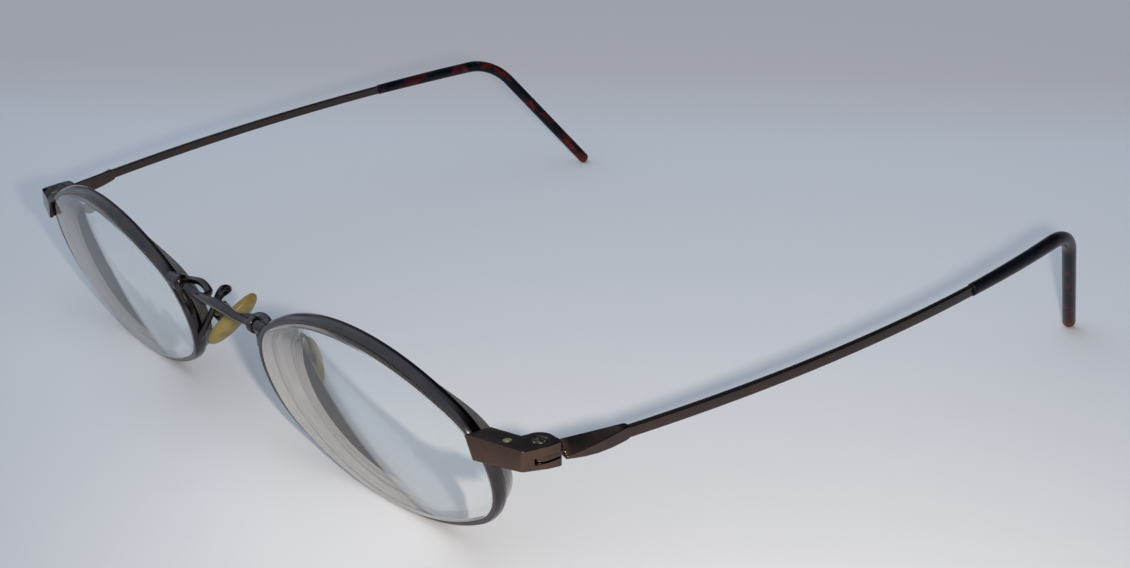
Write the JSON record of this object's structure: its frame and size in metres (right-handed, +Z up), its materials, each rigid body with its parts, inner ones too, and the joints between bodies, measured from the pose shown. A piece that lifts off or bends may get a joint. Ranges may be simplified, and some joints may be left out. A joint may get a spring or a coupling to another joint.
{
  "type": "eyeglass frame",
  "caption": "Small oval full-rim metal eyeglass frame with corrective lenses, nose pads on wire arms, and folding temples with dark curved ear tips.",
  "frame": {"origin": "on the table plane, below the centre of the open frame's bounding box, midway between the lenses", "axes": "+X to the wearer's left across the front, +Y backwards along the open temples, +Z up"},
  "size_m": [0.1486, 0.1284, 0.0282],
  "materials": {
    "frame_metal": "dark antique bronze plating, semi-gloss",
    "lens": "clear polished lens with a ground edge",
    "tip": "dark mottled tortoise acetate, polished",
    "pad": "yellowed clear silicone",
    "insert": "clear nylon plate, slightly frosted",
    "screw": "worn nickel silver with dull green tarnish"
  },
  "bodies": {
    "front": {"rim_left": "frame_metal", "rim_right": "frame_metal", "lens_left": "lens", "lens_right": "lens", "bridge": "frame_metal", "endpiece_left": "frame_metal", "endpiece_right": "frame_metal", "closing_block_left": "frame_metal", "closing_block_right": "frame_metal", "rim_screw_left": "screw", "rim_screw_right": "screw", "hinge_screw_left": "screw", "hinge_screw_right": "screw", "pad_arm_left": "frame_metal", "pad_arm_right": "frame_metal", "pad_box_left": "frame_metal", "pad_box_right": "frame_metal", "pad_screw_left": "screw", "pad_screw_right": "screw"},
    "temple_left": {"temple_butt_left": "frame_metal", "temple_shaft_left": "frame_metal", "temple_tip_left": "tip"},
    "temple_right": {"temple_butt_right": "frame_metal", "temple_shaft_right": "frame_metal", "temple_tip_right": "tip"},
    "pad_left": {"pad_insert_left": "insert", "nose_pad_left": "pad"},
    "pad_right": {"pad_insert_right": "insert", "nose_pad_right": "pad"}
  },
  "joints": [
    {"name": "left_temple_fold", "type": "hinge", "parent": "front", "child": "temple_left", "pos_m": [0.0648, -0.05526, 0.019], "axis": [0, 0, 1], "range_deg": [0, 88]},
    {"name": "right_temple_fold", "type": "hinge", "parent": "front", "child": "temple_right", "pos_m": [-0.0648, -0.05526, 0.019], "axis": [0, 0, -1], "range_deg": [0, 82]},
    {"name": "left_pad_rock", "type": "hinge", "parent": "front", "child": "pad_left", "pos_m": [0.01036, -0.05576, 0.01408], "axis": [0.5473, 0.7881, -0.2818], "range_deg": [-7, 7]},
    {"name": "right_pad_rock", "type": "hinge", "parent": "front", "child": "pad_right", "pos_m": [-0.01036, -0.05576, 0.01408], "axis": [-0.5473, 0.7881, -0.2818], "range_deg": [-7, 7]}
  ]
}
